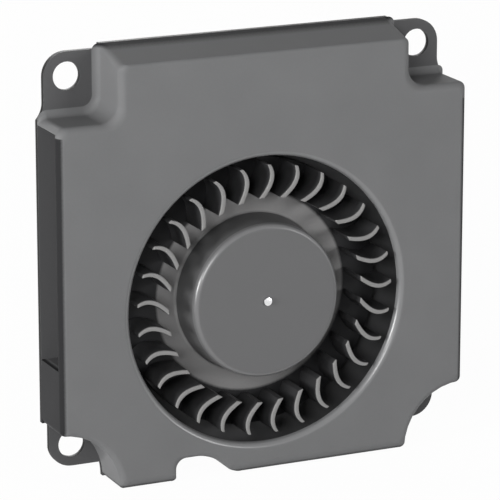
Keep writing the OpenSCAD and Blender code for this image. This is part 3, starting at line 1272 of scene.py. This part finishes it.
@dataclass
class Impeller:
    """Hub cup, web, blades and the shaft's end.

    A blade's middle line is turned by inner_turn degrees at the eye, by tip_turn degrees at the
    tip, and not at all at bend, a share of the way between them. shaft_tip gives the inset and the
    drop of each point of the shaft's rounded end.
    """

    hub: float = 13.4
    draft: float = 0.5
    rim_round: float = 1.0
    cup_wall: float = 0.8
    roof: float = 8.9
    face: float = 10.0
    shaft: float = 0.75
    web_low: float = 2.2
    web_high: float = 3.0
    tip: float = 23.6
    eye: float = 17.9
    blades: int = 29
    phase: float = 12.8
    blade_top: float = 9.7
    inner_thick: float = 0.95
    tip_thick: float = 0.6
    inner_turn: float = 5.5
    tip_turn: float = 1.5
    bend: float = 0.55
    stations: int = 14
    blade_round: float = 0.16
    web_edge: float = 0.1
    web_fillet: float = 0.5
    web_inside_eye: float = 0.2
    recess: float = 0.12
    boss: float = 1.5
    boss_low: float = 7.8
    shaft_low: float = 1.2
    shaft_out: float = 0.4
    shaft_foot_edge: float = 0.1
    shaft_tip: tuple[Point, ...] = ((0.0, 0.14), (0.05, 0.04), (0.14, 0.0))
    groove: Point = (1.45, 1.85)
    groove_deep: float = 0.2
    steps: int = 144

    def build(self) -> None:
        """Build and mount the hub, the web, the blades and the shaft."""
        self._hub()
        self._web()
        self._blades()
        self._shaft()

    def _hub(self) -> None:
        """The cup, with a rounded rim and a boss that holds the shaft."""
        r, boss = self.rim_round, self.shaft + self.boss
        inside, foot = self.hub - self.cup_wall, self.hub + self.draft
        profile: list[Point] = [(self.shaft, self.face - self.recess)]
        profile += [(self.shaft + self.recess, self.face), (self.hub * 0.5, self.face)]
        profile += arc(self.hub - r, self.face - r, r, 90.0, 4.0, 10)
        profile += [(foot, self.web_high), (foot, self.web_low)]
        profile += [(inside, self.web_low), (inside, self.roof)]
        profile += [(boss, self.roof), (boss, self.boss_low), (self.shaft, self.boss_low)]
        hub = lathe("hub", profile, self.steps)
        smooth(hub, 35.0)
        weigh(hub)
        dress(hub, Finish.HUB)
        mount(hub, "rotor", "impeller_hub", "impeller_hub")

    def _web(self) -> None:
        """The flat ring that carries the blades, with a small fillet at the hub's foot."""
        low, high, tip, edge = self.web_low, self.web_high, self.tip, self.web_edge
        foot, fillet = self.hub + self.draft, self.web_fillet
        profile: list[Point] = [(foot, low), (tip - edge, low), (tip, low + edge)]
        profile += [(tip, high - edge), (tip - edge, high), (self.eye - self.web_inside_eye, high)]
        profile += arc(foot + fillet, high + fillet, fillet, 270.0, 184.0, 6)
        web = lathe("web", profile, self.steps)
        smooth(web, 25.0)
        dress(web, Finish.WEB)
        mount(web, "rotor", "impeller_web", "impeller_web")

    def _share(self, r: float) -> float:
        """How far a radius is on the way from the eye to the tip, from zero to one."""
        return (r - self.eye) / (self.tip - self.eye)

    def _turn(self, r: float) -> float:
        """How far the blade's middle line is turned.

        Args:
            r: distance from the axis.

        Returns:
            The turn in degrees, which is zero at the bend.
        """
        s, m = self._share(r), self.bend
        return self.inner_turn * (s - m) * (s - 1) / m + self.tip_turn * s * (s - m) / (1 - m)

    def _thick(self, r: float) -> float:
        """The blade's thickness at a radius."""
        return self.inner_thick + (self.tip_thick - self.inner_thick) * self._share(r)

    def _one_blade(self) -> bpy.types.Object:
        """One blade at its place for a turn of zero, with rounded edges.

        Returns:
            The blade.
        """
        count = self.stations
        sides: list[list[Point]] = []
        for sign in (-1.0, 1.0):
            line: list[Point] = []
            for i in range(count + 1):
                r = self.eye + (self.tip - self.eye) * i / count
                a = math.radians(self._turn(r)) + sign * self._thick(r) / 2 / r
                line.append((r * math.cos(a), r * math.sin(a)))
            sides.append(line)
        loop = sides[0] + sides[1][::-1]
        bm = bmesh.new()
        low = [bm.verts.new(place(x, z, self.web_high)) for x, z in loop]
        high = [bm.verts.new(place(x, z, self.blade_top)) for x, z in loop]
        size = len(loop)
        for i in range(size):
            j = (i + 1) % size
            bm.faces.new((low[i], low[j], high[j], high[i]))
        for i in range(count):
            a, b, c, d = i, i + 1, size - 2 - i, size - 1 - i
            bm.faces.new((high[a], high[b], high[c], high[d]))
            bm.faces.new((low[a], low[b], low[c], low[d]))
        blade = from_bmesh("blade", bm)
        bevel(blade, self.blade_round, 3, 50.0)
        return smooth(blade, 40.0)

    def _blades(self) -> None:
        """Repeat the blade round the axis with a node tree."""
        blade = self._one_blade()
        group = self._ring_tree()
        made = blade.modifiers.new("ring", "NODES")
        made.node_group = group
        sizes = {"Blades": self.blades, "First Angle": math.radians(self.phase)}
        for item in group.interface.items_tree:
            if item.name in sizes:
                made[item.identifier] = sizes[item.name]
        settle(blade)
        blade.name = "blades"
        smooth(blade, 40.0)
        dress(blade, Finish.BLADE)
        mount(blade, "rotor", "impeller_blades", "impeller_blades")

    @staticmethod
    def _ring_tree() -> bpy.types.NodeTree:
        """A node tree that repeats a mesh evenly round the axis.

        Returns:
            The tree, with the count and the first one's angle as its inputs.
        """
        group = bpy.data.node_groups.new("blade_ring", "GeometryNodeTree")
        tree = Tree(group)
        face = group.interface
        face.new_socket("Geometry", in_out="INPUT", socket_type="NodeSocketGeometry")
        face.new_socket("Blades", in_out="INPUT", socket_type="NodeSocketInt")
        face.new_socket("First Angle", in_out="INPUT", socket_type="NodeSocketFloat")
        face.new_socket("Geometry", in_out="OUTPUT", socket_type="NodeSocketGeometry")
        given = tree.node("NodeGroupInput", {}, {}).outputs
        line = tree.node("GeometryNodeMeshLine", {}, {"Count": given["Blades"], "Offset": (0.0, 0.0, 0.0)})
        index = Value(tree, tree.node("GeometryNodeInputIndex", {}, {}).outputs[0])
        turn = index / given["Blades"] * (-2 * math.pi) - given["First Angle"]
        spin = tree.node("ShaderNodeCombineXYZ", {}, {"Y": turn})
        copies = tree.node(
            "GeometryNodeInstanceOnPoints",
            {},
            {"Points": line.outputs["Mesh"], "Instance": given["Geometry"], "Rotation": spin.outputs[0]},
        )
        real = tree.node("GeometryNodeRealizeInstances", {}, {0: copies.outputs[0]})
        paint = tree.node(
            "GeometryNodeSetMaterial",
            {},
            {"Geometry": real.outputs[0], "Material": WARDROBE.get(Finish.BLADE)},
        )
        tree.node("NodeGroupOutput", {}, {0: paint.outputs[0]})
        return group

    def _shaft(self) -> None:
        """The shaft, chamfered at its end, with the retainer's groove."""
        r, low, top = self.shaft, self.shaft_low, self.face + self.shaft_out
        neck = r - self.groove_deep
        behind, before = self.groove
        edge = self.shaft_foot_edge
        profile: list[Point] = [(0.0, low), (r - edge, low), (r, low + edge)]
        profile += [(r, behind), (neck, behind), (neck, before), (r, before)]
        profile += [(r - inset, top - drop) for inset, drop in self.shaft_tip]
        profile += [(0.0, top)]
        shaft = lathe("shaft_rod", profile, 48)
        smooth(shaft, 30.0)
        dress(shaft, Finish.SHAFT)
        mount(shaft, "rotor", "shaft", "shaft")


# --------------------------------------------------------------------------- motor


@dataclass
class Motor:
    """The pieces inside the hub, kept as solids with a finish of their own."""

    finishes: dict[str, Finish] = field(
        default_factory=lambda: {
            "bearing_tube": Finish.BRASS,
            "thrust_pad": Finish.NATURAL,
            "shaft_retainer": Finish.NATURAL,
            "sleeve_bearing": Finish.BRONZE,
            "oil_seal_washer": Finish.WASHER,
            "stator_core": Finish.CORE,
            "stator_insulator_front": Finish.NATURAL,
            "stator_insulator_rear": Finish.NATURAL,
            "stator_windings": Finish.WIRE,
            "terminal_pins": Finish.SOLDER,
            "circuit_board": Finish.BOARD,
            "hall_sensor": Finish.PACKAGE,
            "driver_chip": Finish.PACKAGE,
            "chip_capacitors": Finish.CAPACITOR,
            "chip_resistors": Finish.RESISTOR,
            "lead_pads": Finish.SOLDER,
            "rotor_yoke": Finish.YOKE,
            "ring_magnet": Finish.MAGNET,
        }
    )

    def build(self) -> None:
        """Dress every inner solid."""
        for node, finish in self.finishes.items():
            dress(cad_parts[node], finish)
            LOG.info("%s finished as %s", node, finish.value.name)


# --------------------------------------------------------------------------- studio


def stand(
    name: str, data: bpy.types.ID, aim: Vector, azimuth: float, elevation: float, distance: float
) -> bpy.types.Object:
    """Stand a lamp or camera off from an aim and turn it to face the aim.

    Args:
        name: the object's name.
        data: the lamp or camera.
        aim: what it faces, in metres.
        azimuth: degrees to the right of straight in front, seen from the aim.
        elevation: degrees above level.
        distance: how far off it stands, in metres.

    Returns:
        The lamp's or camera's object.
    """
    a, e = math.radians(azimuth), math.radians(elevation)
    back = Vector((math.sin(a) * math.cos(e), -math.cos(a) * math.cos(e), math.sin(e)))
    obj = bpy.data.objects.new(name, data)
    bpy.context.scene.collection.objects.link(obj)
    obj.location = aim + back * distance
    obj.rotation_mode = "QUATERNION"
    obj.rotation_quaternion = (-back).to_track_quat("-Z", "Y")
    return obj


@dataclass(frozen=True)
class Lamp:
    """One square area light: degrees, metres and watts."""

    name: str
    azimuth: float
    elevation: float
    distance: float
    size: float
    power: float

    def build(self, aim: Vector) -> None:
        """Make the light and turn it to the aim.

        Args:
            aim: what it lights, in metres.
        """
        data = bpy.data.lights.new(self.name, "AREA")
        data.shape = "SQUARE"
        data.size = self.size
        data.energy = self.power
        stand(self.name, data, aim, self.azimuth, self.elevation, self.distance)


@dataclass
class Studio:
    """Camera, lamps, world and floor, in degrees and metres, with the lens in millimetres."""

    azimuth: float = -24.66
    elevation: float = 15.21
    distance: float = 0.5713
    aim: Spot = (-0.00324, -0.010, 0.00933)
    lit: Spot = (0.0, -0.005, 0.008)
    lens: float = 245.5
    sensor: float = 36.0
    floor_size: float = 6.0
    floor_gap: float = 0.00005
    ambient: float = 0.12
    lamps: tuple[Lamp, ...] = (
        Lamp("front_left", -40.0, 20.0, 0.9, 0.3, 4.6),
        Lamp("front_right", 40.0, 8.0, 0.9, 0.3, 3.6),
        Lamp("left_strip", -76.0, 9.0, 0.9, 0.24, 7.5),
        Lamp("back", 172.0, 12.0, 0.9, 0.5, 4.0),
    )

    def build(self) -> None:
        """Set up everything that isn't the blower."""
        scene = bpy.context.scene
        scene.view_settings.view_transform = "Standard"
        self._camera(scene)
        self._world(scene)
        for lamp in self.lamps:
            lamp.build(Vector(self.lit))
        self._floor()

    def _camera(self, scene: bpy.types.Scene) -> None:
        """The camera, without roll, aimed a little left of and above the axis.

        Args:
            scene: the scene that uses it.
        """
        data = bpy.data.cameras.new("camera")
        data.sensor_width = self.sensor
        data.lens = self.lens
        data.clip_start = 0.01
        data.clip_end = 50.0
        seat = (self.azimuth, self.elevation, self.distance)
        scene.camera = stand("camera", data, Vector(self.aim), *seat)

    def _world(self, scene: bpy.types.Scene) -> None:
        """White to the camera and in reflections, dimmer as a light.

        Args:
            scene: the scene that it surrounds.
        """
        world = bpy.data.worlds.new("studio")
        scene.world = world
        world.use_nodes = True
        tree = Tree(world.node_tree)
        camera, gloss, clear = tree.ray_kinds()
        seen = camera.most(gloss).most(clear)
        kind = "ShaderNodeBackground"
        dim = tree.node(kind, {}, {"Color": WHITE, "Strength": self.ambient})
        white = tree.node(kind, {}, {"Color": WHITE, "Strength": 1.0})
        blend = tree.node("ShaderNodeMixShader", {}, {0: seen, 1: dim.outputs[0], 2: white.outputs[0]})
        tree.node("ShaderNodeOutputWorld", {}, {"Surface": blend.outputs[0]})

    def _floor(self) -> None:
        """A pale floor just under the blower."""
        z = CAD_BOX[0].z - self.floor_gap
        s = self.floor_size / 2
        bm = bmesh.new()
        corners = [bm.verts.new((x * s, y * s, z)) for x, y in ((-1, -1), (1, -1), (1, 1), (-1, 1))]
        bm.faces.new(corners)
        mesh = bpy.data.meshes.new("floor")
        bm.to_mesh(mesh)
        bm.free()
        floor = new_object("floor", mesh)
        dress(floor, Finish.FLOOR)


def main() -> None:
    """Build the blower and the studio."""
    logging.basicConfig(level=logging.INFO, format="%(name)s: %(message)s")
    Studio().build()
    Cover().build()
    RearPlate().build()
    Impeller().build()
    Motor().build()


if __name__ == "__main__":
    main()
